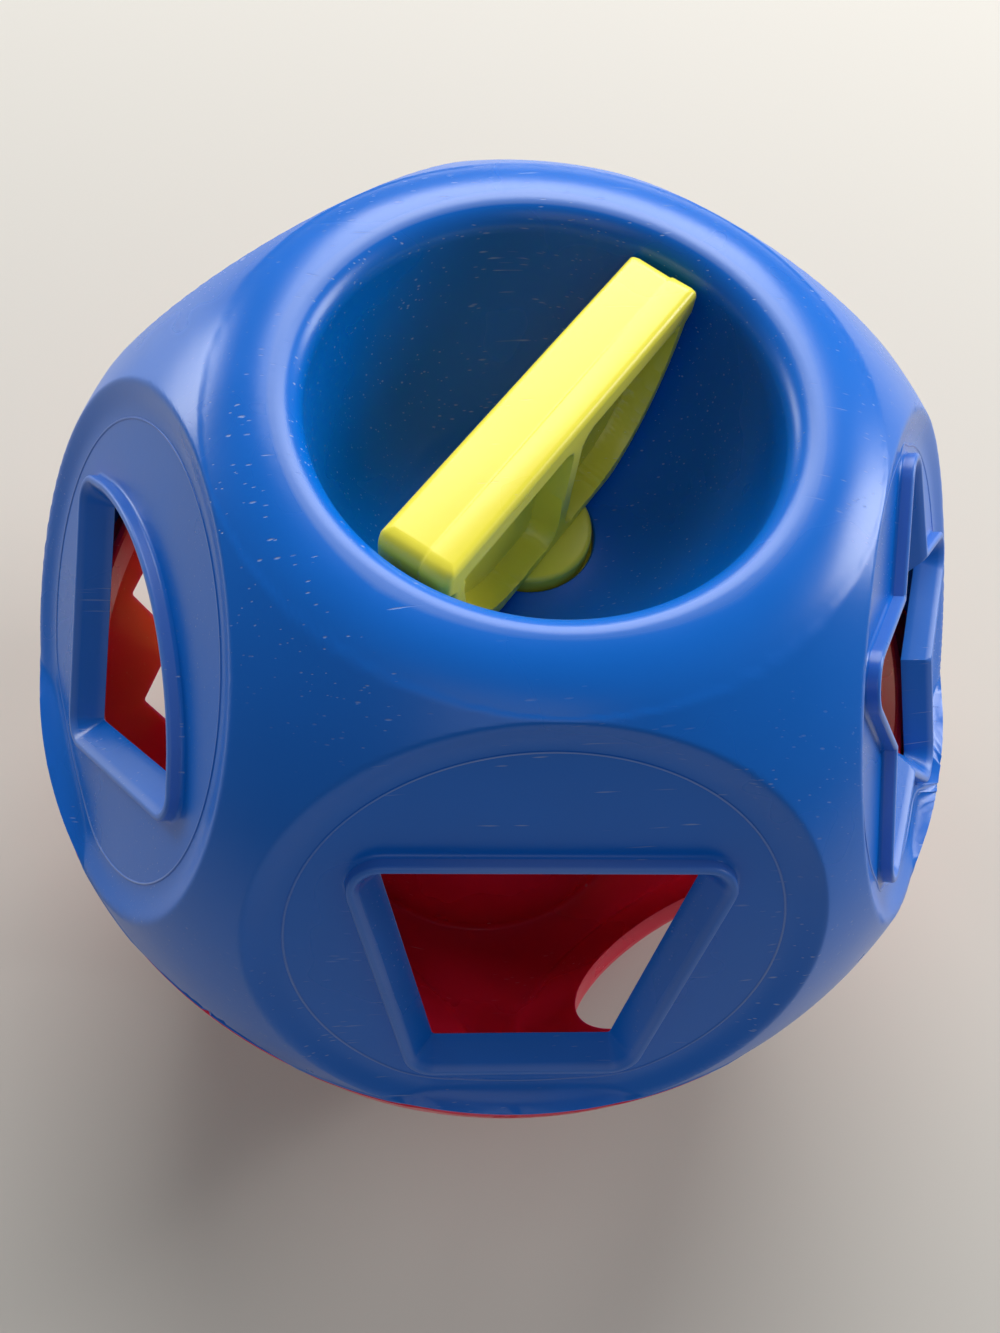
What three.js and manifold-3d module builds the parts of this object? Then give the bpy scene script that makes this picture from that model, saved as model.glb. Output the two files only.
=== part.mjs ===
// Shape sorter: a hollow ball in two halves, five shaped windows in each half,
// a dished pole with a grip handle in each half, and ten loose blocks inside.
// The ball stands on the rim of its lower dish. Millimetres, +Z up,
// with the origin at the centre of the circle that it stands on.

import * as THREE from 'three';
import { mergeVertices } from 'three/addons/utils/BufferGeometryUtils.js';
import Module from 'manifold-3d';

const wasm = await Module();
wasm.setup();

// ---------------------------------------------------------------- driving dimensions

const ballRadius = 88.5; // rounded corners between the faces
const wall = 2.6; // moulded wall of both halves
const faceSink = 12.5; // flat window faces below the ball's surface
const faceRadius = 37.3; // flat part of a window face
const coveRadius = 9; // hollow fillet from the flat up to the ridges
const rimSink = 12.3; // crest of a dish rim below the ball's surface
const rimRadius = 39.1; // crest circle of a dish rim
const rimRound = 4; // rounding of the rim into the dish
const rimFlat = 1.6; // narrow flat on the crest, which the ball stands on
const rimFall = 1.2; // drop from the crest to where the ball begins
const dishDepth = 35.7; // rim crest to the dish floor
const dishFloorRadius = 12; // start of the dish's curved wall

const collarRise = 2.3; // window frame above its face
const collarCrest = 1.2; // width of the frame's crest
const funnelWidth = 3.4; // slope from the crest in to the opening
const cornerTrim = 1; // blunted corners of the openings

const seamGap = 0.3; // between the two halves
const seamBand = 1; // round edge of each half, from the middle of the seam up
const sillDepth = 6; // hollow sill from the round edge in to the foot of a face
const sillHeight = 5;
const spigotHeight = 4.5; // tongue of the lower half inside the upper one
const spigotWall = 1.8;
const shelfHeight = 2.6; // inner shelf that carries the tongue
const runningGap = 0.4; // between parts that slide or turn

const gripWidth = 12.2; // across the handle
const gripFlange = 4.8; // thickness of the handle's top bar
const gripDrop = 1.7; // handle top below the rim crest
const gripEndGap = 1.6; // bar end to the dish wall
const gripEndRound = 2.6;
const gripClearance = 3; // handle's curved edge to the dish wall
const gripFootGap = 1.7; // handle's lowest edge to the dish floor
const gripRim = 3; // thickness of the curved edge and of the middle rib
const gripWeb = 3; // thickness of the web between the finger pockets
const gripBearing = 54; // degrees about Z, in line with a window
const bossRadius = 11.1;
const bossGap = 0.6; // between the boss and its hole
const bossOverlap = 0.6; // boss above the handle's lowest edge, where they are one
const barbWidth = 1.8; // how far the retaining ring passes the hole's edge
const barbHeight = 2.2;

const bladeWidth = 14;
const bladeThickness = 3;
const bladeShoulder = 3.8; // solid blade between the ring and the slot
const pegRadius = 2;
const pegInset = 4; // peg to the blade's tip
const pegHeadRadius = 3.2;
const pegHeadHeight = 1.4;
const slotEndGap = 0.5; // peg to the slot's end, at both ends of the travel
const slotToPeg = 3.5; // solid blade between its slot and its own peg

const blockHeight = 16;
const blockWall = 2;
const blockClearance = 0.9; // block outline inside its window's outline
const blockStackGap = 0.5;

// Segments round a turned surface, and round and up the ball, outside and inside.
const sides = 28;
const outsideDetail = { sides, ball: [32, 16] };
const insideDetail = { sides: 20, ball: [24, 12] };
const arcSteps = 6; // segments in an outline's curve

// ---------------------------------------------------------------- worked out from them

const faceLatitude = Math.atan(0.5);
const fifth = (2 * Math.PI) / 5;
const rad = THREE.MathUtils.degToRad;
const faceDistance = ballRadius - faceSink; // ball centre to each flat window face
const rimHeight = ballRadius - rimSink; // ball centre to the crest of a dish rim
const floorHeight = rimHeight - dishDepth;
const holeRadius = bossRadius + bossGap;
const barbTop = floorHeight - wall - runningGap;
const barbFoot = barbTop - barbHeight;
const pegReach = pegRadius + slotEndGap;
const pegDepth = barbFoot - bladeShoulder - pegReach; // peg past the ball's centre
const travel = 2 * pegDepth - pegReach - pegRadius - slotToPeg; // how far the halves pull apart
const stackBase = blockStackGap - barbFoot; // foot of the lowest blocks, over the lower ring
const big = 3 * ballRadius;
const bite = 0.1; // overlap of two solids that are joined
const past = 1; // how far a cutter passes what it cuts

// ---------------------------------------------------------------- solids

// A closed three.js geometry as a solid. A geometry whose faces point inwards is turned.
function solid(geometry) {
  const bare = geometry.clone();
  bare.deleteAttribute('normal');
  bare.deleteAttribute('uv');
  const merged = mergeVertices(bare, 1e-4);
  const position = merged.attributes.position.array;
  const index = merged.index.array;
  const triangles = [];
  let volume = 0;
  const corner = (i) => new THREE.Vector3().fromArray(position, 3 * i);
  for (let i = 0; i < index.length; i += 3) {
    const [a, b, c] = [index[i], index[i + 1], index[i + 2]];
    if (a === b || b === c || c === a) continue;
    triangles.push(a, b, c);
    volume += corner(a).dot(corner(b).cross(corner(c)));
  }
  if (volume < 0) triangles.reverse();
  const mesh = { numProp: 3, vertProperties: position, triVerts: Uint32Array.from(triangles) };
  return new wasm.Manifold(new wasm.Mesh(mesh));
}

function geometryOf(manifold) {
  const mesh = manifold.getMesh();
  const geometry = new THREE.BufferGeometry();
  geometry.setAttribute('position', new THREE.BufferAttribute(mesh.vertProperties, mesh.numProp));
  geometry.setIndex(new THREE.BufferAttribute(mesh.triVerts, 1));
  geometry.computeVertexNormals();
  return geometry;
}

// A profile of [radius, height] points turned about Z.
function turned(points, matrix = new THREE.Matrix4(), segments = sides) {
  const profile = points.map(([radius, height]) => new THREE.Vector2(radius, height));
  const geometry = new THREE.LatheGeometry(profile, segments);
  geometry.rotateX(Math.PI / 2);
  return solid(geometry.applyMatrix4(matrix));
}

function disc(radius, low, high, segments = sides) {
  return turned([[0, low], [radius, low], [radius, high], [0, high]], undefined, segments);
}

function box(low, high) {
  const size = high.map((value, i) => value - low[i]);
  const geometry = new THREE.BoxGeometry(...size);
  geometry.translate(...high.map((value, i) => (value + low[i]) / 2));
  return solid(geometry);
}

// An outline of [x, y] points extruded from one height to another.
function prism(points, low, high, matrix = new THREE.Matrix4()) {
  const shape = new THREE.Shape(points.map(([x, y]) => new THREE.Vector2(x, y)));
  const geometry = new THREE.ExtrudeGeometry(shape, { depth: high - low, bevelEnabled: false });
  geometry.translate(0, 0, low);
  return solid(geometry.applyMatrix4(matrix));
}

// The outline moved outwards by a distance, with its corners kept sharp.
function grown(points, distance) {
  const count = points.length;
  const normals = points.map(([x, y], i) => {
    const [nextX, nextY] = points[(i + 1) % count];
    const length = Math.hypot(nextX - x, nextY - y);
    return [(nextY - y) / length, (x - nextX) / length];
  });
  return points.map(([x, y], i) => {
    const [ax, ay] = normals[(i + count - 1) % count];
    const [bx, by] = normals[i];
    const share = distance / (1 + ax * bx + ay * by);
    return [x + (ax + bx) * share, y + (ay + by) * share];
  });
}

// A prism whose top outline is moved outwards, as a funnel's mouth is.
function funnel(points, growth, low, high, matrix) {
  const shape = new THREE.Shape(points.map(([x, y]) => new THREE.Vector2(x, y)));
  const geometry = new THREE.ExtrudeGeometry(shape, { depth: high - low, bevelEnabled: false });
  const key = (x, y) => `${x.toFixed(3)} ${y.toFixed(3)}`;
  const wide = grown(points, growth);
  const moved = new Map(points.map(([x, y], i) => [key(x, y), wide[i]]));
  const position = geometry.attributes.position;
  for (let i = 0; i < position.count; i += 1) {
    if (position.getZ(i) === 0) continue;
    const [x, y] = moved.get(key(position.getX(i), position.getY(i)));
    position.setXY(i, x, y);
  }
  geometry.translate(0, 0, low);
  return solid(geometry.applyMatrix4(matrix));
}

// ---------------------------------------------------------------- window outlines
// Anticlockwise [x, y] points, x to the right and y up as seen from outside the ball.

// Each outward corner cut back by the same length along both of its sides.
function trimmed(points, length = cornerTrim) {
  const count = points.length;
  return points.flatMap((point, i) => {
    const here = new THREE.Vector2(...point);
    const [before, after] = [count - 1, 1].map((step) => {
      return new THREE.Vector2(...points[(i + step) % count]).sub(here).normalize();
    });
    const inward = before.cross(after) > 0;
    if (inward || before.dot(after) < Math.cos(sharpest)) return [point];
    return [before, after].map((way) => here.clone().addScaledVector(way, length).toArray());
  });
}

function onCircle(radius, count, start, spread = 2 * Math.PI, stretch = 1) {
  const steps = spread === 2 * Math.PI ? count : count - 1;
  return Array.from({ length: count }, (_, i) => {
    const angle = start + (spread * i) / steps;
    return [stretch * radius * Math.cos(angle), radius * Math.sin(angle)];
  });
}

const up = Math.PI / 2;
const sharpest = rad(155); // a corner that opens wider than this is part of a curve

function trapezoid(top, bottom, height, drop) {
  const [high, low] = [height / 2 - drop, -height / 2 - drop];
  return [[-bottom / 2, low], [bottom / 2, low], [top / 2, high], [-top / 2, high]];
}

function star(radius, waist) {
  const tips = onCircle(radius, 5, -up);
  const notches = onCircle(waist, 5, -up + fifth / 2);
  return tips.flatMap((tip, i) => [tip, notches[i]]);
}

function quarter(radius) {
  const corner = [0, -0.6 * radius];
  const arc = onCircle(radius, arcSteps + 1, up / 2, up).map(([x, y]) => [x, y + corner[1]]);
  return [corner, ...arc];
}

function cross(reach, arm) {
  const a = arm / 2;
  const quarterTurn = [[reach, -a], [reach, a], [a, a]];
  const turns = [[1, 0], [0, 1], [-1, 0], [0, -1]];
  return turns.flatMap(([c, s]) => quarterTurn.map(([x, y]) => [c * x - s * y, s * x + c * y]));
}

const upperWindows = [
  { name: 'trapezoid', outline: trapezoid(47, 29, 38.5, 6) },
  { name: 'star', outline: star(33, 15.5) },
  { name: 'hexagon', outline: onCircle(25, 6, 0) },
  { name: 'triangle', outline: onCircle(30, 3, up) },
  { name: 'quarter', outline: quarter(38) },
];
const lowerWindows = [
  { name: 'circle', outline: onCircle(25.5, 4 * arcSteps, 0) },
  { name: 'square', outline: onCircle(28, 4, up / 2) },
  { name: 'pentagon', outline: onCircle(26, 5, up) },
  { name: 'cross', outline: cross(25, 18) },
  { name: 'oval', outline: onCircle(19, 4 * arcSteps, 0, 2 * Math.PI, 1.5) },
];

// The frame of a face: x to the right, y up and z out, seen from outside.
function faceMatrix(bearing, latitude) {
  const out = new THREE.Vector3(Math.cos(bearing), Math.sin(bearing), Math.tan(latitude));
  out.normalize();
  const right = new THREE.Vector3(-Math.sin(bearing), Math.cos(bearing), 0);
  const above = new THREE.Vector3().crossVectors(out, right);
  return new THREE.Matrix4().makeBasis(right, above, out);
}

// The upper faces start at the front and go anticlockwise; the lower ones lie between them.
const faces = [1, -1].flatMap((side) => {
  const windows = side > 0 ? upperWindows : lowerWindows;
  const first = side > 0 ? -up : -up + fifth / 2;
  return windows.map(({ name, outline }, i) => {
    return { name, side, outline, matrix: faceMatrix(first + i * fifth, side * faceLatitude) };
  });
});

// ---------------------------------------------------------------- the ball

// Everything on one side of the seam, beyond a height from its middle.
function slab(side, height) {
  const [low, high] = [side * height, side * big].sort((a, b) => a - b);
  return box([-big, -big, low], [big, big, high]);
}

// What is cut off the ball to leave one flat face inside its hollow fillet.
function faceCutter(inset, matrix, segments) {
  const height = faceDistance - inset;
  const cove = [0, 30, 60].map((degrees) => {
    const angle = rad(degrees);
    return [faceRadius + coveRadius * Math.sin(angle), height + coveRadius * (1 - Math.cos(angle))];
  });
  const edge = cove.at(-1)[0];
  return turned([[0, height], ...cove, [edge, big], [0, big]], matrix, segments);
}

// What is cut out of one pole to leave the dish and its rounded rim.
function dishCutter(inset, side, segments) {
  const round = rimRound - inset;
  const roundHeight = rimHeight - rimRound;
  const wallReach = rimRadius - rimRound - dishFloorRadius + inset;
  const wallDepth = roundHeight - floorHeight + inset;
  const bowl = [90, 60, 30, 0].map((degrees) => {
    const angle = rad(degrees);
    return [dishFloorRadius + wallReach * Math.cos(angle), roundHeight - wallDepth * Math.sin(angle)];
  });
  const rim = [45, 0].map((degrees) => {
    const angle = rad(degrees);
    return [rimRadius - round * Math.sin(angle), roundHeight + round * Math.cos(angle)];
  });
  const crest = rimHeight - inset;
  const meet = crest - rimFall;
  const meetRadius = Math.sqrt((ballRadius - inset) ** 2 - meet ** 2);
  const outside = [[rimRadius + rimFlat, crest], [meetRadius, meet], [meetRadius + rimRadius, meet]];
  const profile = [[0, bowl[0][1]], ...bowl, ...rim, ...outside, [meetRadius + rimRadius, big], [0, big]];
  return turned(profile.map(([radius, height]) => [radius, side * height]), undefined, segments);
}

// What the faces' cutters leave beside the seam, so that both halves meet in a full circle.
function seamRing() {
  const sill = [0, 0.08, 0.3, 1].map((rise) => {
    const reach = ballRadius - sillDepth * Math.sqrt(1 - (1 - rise) ** 2);
    return [reach, seamBand + sillHeight * rise];
  });
  const edge = [[ballRadius + past, seamBand], ...sill];
  const mirrored = edge.map(([radius, height]) => [radius, -height]).reverse();
  const [, top] = edge.at(-1);
  return turned([[0, -top], ...mirrored, ...edge, [0, top]], undefined, 2 * sides);
}

// The whole ball as a solid, with every surface moved inwards by the inset.
function ballSolid(inset, detail, keep) {
  const sphere = new THREE.SphereGeometry(ballRadius - inset, ...detail.ball);
  let body = solid(sphere.rotateX(Math.PI / 2));
  for (const { matrix } of faces) {
    const cutter = faceCutter(inset, matrix, detail.sides);
    body = body.subtract(keep ? cutter.subtract(keep) : cutter);
  }
  for (const side of [1, -1]) body = body.subtract(dishCutter(inset, side, detail.sides));
  return body;
}

function collar({ outline, matrix }) {
  const outer = grown(trimmed(outline), funnelWidth + collarCrest);
  return prism(outer, faceDistance - wall, faceDistance + collarRise, matrix);
}

// The opening: straight from below the wall, then widening from the inner face to the crest.
function opening({ outline, matrix }) {
  const inner = faceDistance - wall;
  const crest = faceDistance + collarRise;
  const slope = funnelWidth / (crest - inner);
  const edge = trimmed(outline);
  const straight = prism(edge, inner - wall, inner + bite, matrix);
  const mouth = slope * (crest + past - inner);
  return funnel(edge, mouth, inner, crest + past, matrix).add(straight);
}

const outside = ballSolid(0, outsideDetail, seamRing());
const cavity = ballSolid(wall, insideDetail);
const shell = outside.subtract(cavity);

function halfShell(side) {
  const own = faces.filter((face) => face.side === side);
  const reach = slab(side, seamGap / 2);
  let half = shell.intersect(reach);
  for (const face of own) half = half.add(collar(face).intersect(reach));
  for (const face of own) half = half.subtract(opening(face));
  return half.subtract(disc(holeRadius, Math.min(0, side * big), Math.max(0, side * big)));
}

// The tongue stands on an inner shelf and clears the flat faces inside the upper half.
function spigot() {
  const rise = spigotHeight * Math.tan(faceLatitude);
  const outer = (faceDistance - wall) / Math.cos(faceLatitude) - rise - runningGap;
  const inner = outer - spigotWall;
  const top = spigotHeight;
  const shelfTop = -seamGap / 2;
  const ring = disc(outer, shelfTop - shelfHeight, top).subtract(disc(inner, -big, big));
  const shelf = disc(ballRadius, shelfTop - shelfHeight, shelfTop).subtract(disc(inner, -big, big));
  return shelf.intersect(ballSolid(wall / 2, insideDetail)).add(ring);
}

const upperHalf = halfShell(1);
const lowerHalf = halfShell(-1).add(spigot());

// ---------------------------------------------------------------- the handles

// The handle's side view, x along the bar and y up: a bar above a bowl-shaped edge.
function gripOutline(inset) {
  const top = rimHeight - gripDrop;
  const centre = rimHeight - rimRound;
  const reach = rimRadius - rimRound - dishFloorRadius - gripClearance - inset;
  const depth = centre - floorHeight - gripFootGap - inset;
  const half = rimRadius - rimRound - gripEndGap - inset;
  const edge = Array.from({ length: 9 }, (_, i) => {
    const angle = rad(10 * (9 - i));
    return [dishFloorRadius + reach * Math.cos(angle), centre - depth * Math.sin(angle)];
  });
  const flange = top - gripFlange;
  const last = edge.findIndex(([, height]) => height > flange - gripRim);
  const curve = edge.slice(0, last);
  const round = gripEndRound;
  const right = [...curve, [half, flange], [half, top - round], [half - round, top]];
  const left = right.map(([x, y]) => [-x, y]).reverse();
  return [...right, ...left];
}

// A finger pocket between the bar, the curved edge and the middle rib.
function pocket(side, face) {
  const outline = gripOutline(gripRim);
  const ceiling = rimHeight - gripDrop - gripFlange;
  const half = outline.filter(([x, y]) => x > 0 && y < ceiling - past);
  const [endX] = half.at(-1);
  const start = gripRim / 2;
  const shape = [[start, half[0][1]], ...half, [endX + past, ceiling], [start, ceiling]];
  const [near, far] = [gripWeb / 2, gripWidth];
  const matrix = new THREE.Matrix4().makeRotationX(Math.PI / 2);
  const cut = prism(shape, -far, -near, matrix);
  const turn = new THREE.Matrix4().makeScale(side, face, 1);
  return transformed(cut, turn);
}

function transformed(manifold, matrix) {
  return solid(geometryOf(manifold).applyMatrix4(matrix));
}

function blade() {
  const near = runningGap;
  const far = near + bladeThickness;
  const tip = -pegDepth - pegInset;
  let plate = box([-bladeWidth / 2, near, tip], [bladeWidth / 2, far, barbFoot + barbHeight / 2]);
  const slotHalf = pegRadius + runningGap;
  const slot = box([-slotHalf, near - past, pegDepth - travel - pegReach],
    [slotHalf, far + past, pegDepth + pegReach]);
  plate = plate.subtract(slot);
  const pegRoot = -near - bladeThickness / 2;
  const pegEnd = far + runningGap;
  const towardsY = new THREE.Matrix4().makeRotationX(Math.PI / 2);
  towardsY.setPosition(0, 0, -pegDepth);
  const peg = turned([
    [0, pegRoot], [pegRadius, pegRoot], [pegRadius, pegEnd],
    [pegHeadRadius, pegEnd], [pegHeadRadius, pegEnd + pegHeadHeight], [0, pegEnd + pegHeadHeight],
  ], towardsY, 16);
  return plate.add(peg);
}

function handle() {
  const upright = new THREE.Matrix4().makeRotationX(Math.PI / 2);
  let body = prism(gripOutline(0), -gripWidth / 2, gripWidth / 2, upright);
  for (const side of [1, -1]) {
    for (const face of [1, -1]) body = body.subtract(pocket(side, face));
  }
  const boss = disc(bossRadius, barbFoot, floorHeight + gripFootGap + bossOverlap, 32);
  const barb = disc(holeRadius + barbWidth, barbFoot, barbTop, 32);
  return body.add(boss).add(barb).add(blade());
}

const handleSolid = handle();

// ---------------------------------------------------------------- the blocks

// A block is an open-bottomed cup that just passes through its own window.
function block({ outline }) {
  const outer = trimmed(grown(outline, -blockClearance));
  const inner = grown(outline, -blockClearance - blockWall);
  const hollow = prism(inner, -past, blockHeight - blockWall);
  return prism(outer, 0, blockHeight).subtract(hollow);
}

// Where each block lies: its bearing, level, own turn in degrees, and radius from the axis.
const blockPlaces = {
  circle: [90, 0, 0, 38],
  oval: [12, 0, 90, 41],
  hexagon: [168, 0, 0, 41],
  square: [90, 1, 0, 40],
  trapezoid: [14, 1, 18, 43],
  pentagon: [169, 1, 18, 43],
  triangle: [90, 2, 0, 42],
  cross: [12, 2, 18, 44],
  quarter: [166, 2, -18, 43],
  star: [90, 3, 0, 40],
};

// ---------------------------------------------------------------- the scene

const plastic = (color) => new THREE.MeshStandardMaterial({ color, roughness: 0.35, metalness: 0 });

function named(name, manifold, color) {
  const mesh = new THREE.Mesh(geometryOf(manifold), plastic(color));
  mesh.name = name;
  return mesh;
}

const ball = new THREE.Group();
ball.position.z = rimHeight;
ball.add(named('blue_half', upperHalf, 0x0b4fb5));
ball.add(named('red_half', lowerHalf, 0xc8102e));

const upperHandle = named('upper_handle', handleSolid, 0xf2e24a);
upperHandle.rotation.z = rad(gripBearing);
ball.add(upperHandle);

const lowerHandle = named('lower_handle', handleSolid, 0xf2e24a);
lowerHandle.rotation.set(Math.PI, 0, 0);
const lowerTurn = new THREE.Group();
lowerTurn.rotation.z = rad(gripBearing);
lowerTurn.add(lowerHandle);
ball.add(lowerTurn);

for (const face of faces) {
  const [bearing, level, turn, radius] = blockPlaces[face.name];
  const mesh = named(`${face.name}_block`, block(face), 0xf2e24a);
  const place = rad(bearing);
  const height = stackBase + level * (blockHeight + blockStackGap);
  mesh.position.set(radius * Math.cos(place), radius * Math.sin(place), height);
  mesh.rotation.z = rad(turn);
  ball.add(mesh);
}

export default ball;
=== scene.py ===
import math

import bmesh
import bpy
import numpy as np
from bpy.props import FloatProperty, IntProperty, PointerProperty, StringProperty
from mathutils import Euler, Matrix, Vector


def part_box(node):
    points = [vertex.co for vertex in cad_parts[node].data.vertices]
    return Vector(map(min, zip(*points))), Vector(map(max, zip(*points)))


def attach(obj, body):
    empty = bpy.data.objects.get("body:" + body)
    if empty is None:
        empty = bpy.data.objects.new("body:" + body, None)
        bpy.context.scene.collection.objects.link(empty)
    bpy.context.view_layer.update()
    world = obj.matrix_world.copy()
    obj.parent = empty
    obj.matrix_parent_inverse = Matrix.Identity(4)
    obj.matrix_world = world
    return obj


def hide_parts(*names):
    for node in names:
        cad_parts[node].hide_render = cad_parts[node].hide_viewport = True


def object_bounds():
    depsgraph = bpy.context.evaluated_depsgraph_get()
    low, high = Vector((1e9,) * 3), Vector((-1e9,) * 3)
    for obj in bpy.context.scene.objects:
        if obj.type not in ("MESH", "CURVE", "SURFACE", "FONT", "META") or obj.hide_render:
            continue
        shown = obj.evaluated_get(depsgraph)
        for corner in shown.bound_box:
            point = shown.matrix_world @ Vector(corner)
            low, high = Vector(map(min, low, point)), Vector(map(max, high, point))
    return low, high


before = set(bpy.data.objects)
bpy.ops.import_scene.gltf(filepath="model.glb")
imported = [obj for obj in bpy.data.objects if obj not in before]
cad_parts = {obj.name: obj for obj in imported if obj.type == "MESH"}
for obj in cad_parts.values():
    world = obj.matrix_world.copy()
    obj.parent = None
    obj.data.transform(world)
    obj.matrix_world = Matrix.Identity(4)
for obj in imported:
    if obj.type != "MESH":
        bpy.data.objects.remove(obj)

bl_info = {
    "name": "Shape sorter",
    "version": (1, 0, 0),
    "blender": (4, 5, 0),
    "location": "3D View > Sidebar > Shape sorter",
    "description": "A two-part ball with shaped windows, dish handles and loose blocks",
    "category": "Add Mesh",
}

MM = 0.001
FACE_LATITUDE = math.atan(0.5)  # of the window faces of a dodecahedron that stands on a face
POLE_BISECTOR = (math.sqrt(5) - 1) / 2  # tangent of half the angle between two faces
FIFTH = 2 * math.pi / 5
SILL_START, SILL_DEPTH, SILL_HEIGHT = 1.0 * MM, 6.0 * MM, 5.0 * MM
SILL_BLEND = 0.8 * MM
SILL_FALL = 4.0  # drop for each unit of height above the sill
SEAM_ROUND = 0.45 * MM

CAD_LOW, CAD_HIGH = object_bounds()
BLUE_LOW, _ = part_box("blue_half")
CENTRE = Vector((0.0, 0.0, CAD_HIGH[2] / 2))
BALL_RADIUS = CAD_HIGH[0]
SEAM = BLUE_LOW[2] - CENTRE.z  # half of the gap between the two halves


# ---------------------------------------------------------------- sizes and colours


def length(name, millimetres, description):
    """A length property with its default in millimetres."""
    return FloatProperty(name=name, description=description, default=millimetres * MM, unit="LENGTH")


class SorterBallSizes(bpy.types.PropertyGroup):
    wall: length("Wall", 2.6, "Moulded wall of both halves")
    face: length("Face distance", 76.0, "Ball centre to each flat window face")
    flat: length("Flat radius", 37.3, "Flat part of a window face")
    cove: length("Cove radius", 9.0, "Hollow fillet from the flat up to the ridges")
    ridge: length("Ridge blend", 2.2, "Rounding between the ball and its faces")
    rim: length("Rim radius", 39.1, "Crest circle of a dish rim")
    rim_round: length("Rim rounding", 4.0, "Rounding of the rim into the dish")
    floor: length("Dish floor", 40.5, "Ball centre to the dish floor")
    floor_flat: length("Dish flat", 12.0, "Radius where the dish's wall begins")
    hole: length("Dish hole", 11.7, "Radius of the hole that the handle turns in")
    collar: length("Frame height", 2.3, "Window frame above its face")
    funnel: length("Frame slope", 3.4, "Slope from the frame's crest in to the opening")
    crest: length("Frame crest", 1.2, "Width of the frame's crest")
    corner: length("Opening corner", 0.7, "Rounding of an opening's corners")


class SorterHandleSizes(bpy.types.PropertyGroup):
    width: length("Grip width", 12.2, "Across the handle")
    half: length("Half bar", 33.5, "Half of the bar's length")
    top: length("Bar height", 74.5, "Ball centre to the top of the bar")
    foot: length("Grip foot", 42.2, "Ball centre to the grip's lowest edge")
    flange: length("Bar thickness", 4.8, "Thickness of the top bar")
    rim: length("Rib", 3.0, "Thickness of the curved edge and the middle rib")
    web: length("Web", 3.0, "Thickness of the web between the finger pockets")
    edge: length("Edge rounding", 1.3, "Rounding of the grip's long edges")
    boss: length("Boss radius", 11.1, "Round boss in the dish's hole")
    bearing: FloatProperty(
        name="Bearing", description="Direction of the bar about the ball's axis",
        default=math.radians(54), subtype="ANGLE")


class SorterFinish(bpy.types.PropertyGroup):
    blue: StringProperty(name="Blue", description="sRGB hex of the upper half", default="#0069CE")
    red: StringProperty(name="Red", description="sRGB hex of the lower half", default="#E81A42")
    yellow: StringProperty(name="Yellow", description="sRGB hex of the handles", default="#F7EA48")
    paper: StringProperty(name="Floor", description="sRGB hex of the floor", default="#C6C2BA")
    seed: IntProperty(name="Seed", description="Offset of the wear pattern", default=3)


# ---------------------------------------------------------------- mesh helpers


def build_mesh(name, vertices, faces, weld=0.0, wear_and_sheen=None):
    """A mesh object at the origin from metres, with shared borders welded and smooth shading.
    The wear and painted highlight of each point, from 0 to 1, are kept as an attribute for the material."""
    mesh = bpy.data.meshes.new(name)
    mesh.from_pydata(vertices, [], faces)
    if wear_and_sheen is not None:
        mesh.attributes.new("edge_wear_and_sheen", "FLOAT", "POINT").data.foreach_set("value", wear_and_sheen)
    if weld:
        work = bmesh.new()
        work.from_mesh(mesh)
        bmesh.ops.remove_doubles(work, verts=work.verts, dist=weld)
        bmesh.ops.dissolve_degenerate(work, edges=work.edges, dist=weld / 4)
        work.to_mesh(mesh)
        work.free()
    mesh.shade_smooth()
    mesh.set_sharp_from_angle(angle=math.radians(40))
    obj = bpy.data.objects.new(name, mesh)
    bpy.context.scene.collection.objects.link(obj)
    return obj


def grid_faces(rows, columns, start=0, wrap=True):
    """Quads of a grid of points, row by row, closed round the columns if wrap is set."""
    row = np.arange(rows - 1)[:, None] * columns + start
    column = np.arange(columns if wrap else columns - 1)[None, :]
    after = (column + 1) % columns
    quads = np.stack([row + column, row + columns + column, row + columns + after, row + after], -1)
    return quads.reshape(-1, 4)


def joined(grids):
    """Points and quads of several wrapped grids in one list."""
    points, faces, start = [], [], 0
    for grid in grids:
        rows, columns = grid.shape[:2]
        points.append(grid.reshape(-1, 3))
        faces.append(grid_faces(rows, columns, start))
        start += rows * columns
    return np.concatenate(points), np.concatenate(faces)


def lathe(profile, segments=128):
    """Profile rows of (radius, height), turned about Z into a grid of points."""
    angle = np.linspace(0, 2 * math.pi, segments, endpoint=False)
    radius, height = np.asarray(profile, float).T
    x = radius[:, None] * np.cos(angle)
    y = radius[:, None] * np.sin(angle)
    return np.stack([x, y, np.broadcast_to(height[:, None], x.shape)], -1)


def arc(centre, radii, start, end, steps):
    """Points on an ellipse's arc, angles in degrees from the first axis."""
    angle = np.radians(np.linspace(start, end, steps))
    return np.stack([centre[0] + radii[0] * np.cos(angle), centre[1] + radii[1] * np.sin(angle)], -1)


def smooth_least(a, b, blend):
    """The lesser of two heights, rounded by a parabola where they are within the blend."""
    share = np.maximum(blend - np.abs(a - b), 0) / blend
    return np.minimum(a, b) - share * share * blend / 4


# ---------------------------------------------------------------- window outlines
# Anticlockwise points in millimetres, x to the right and y up as seen from outside.


def on_circle(radius, count, start=0.0, spread=360.0, stretch=1.0):
    """Points round a circle, or along part of one with both ends, angles in degrees."""
    whole = spread == 360.0
    angle = np.radians(start + np.linspace(0, spread, count, endpoint=not whole))
    return np.stack([stretch * radius * np.cos(angle), radius * np.sin(angle)], -1)


def trapezoid(top, bottom, height, drop):
    high, low = height / 2 - drop, -height / 2 - drop
    return np.array([(-bottom / 2, low), (bottom / 2, low), (top / 2, high), (-top / 2, high)])


def star(radius, waist):
    tips, notches = on_circle(radius, 5, -90), on_circle(waist, 5, -54)
    return np.stack([tips, notches], 1).reshape(-1, 2)


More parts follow.
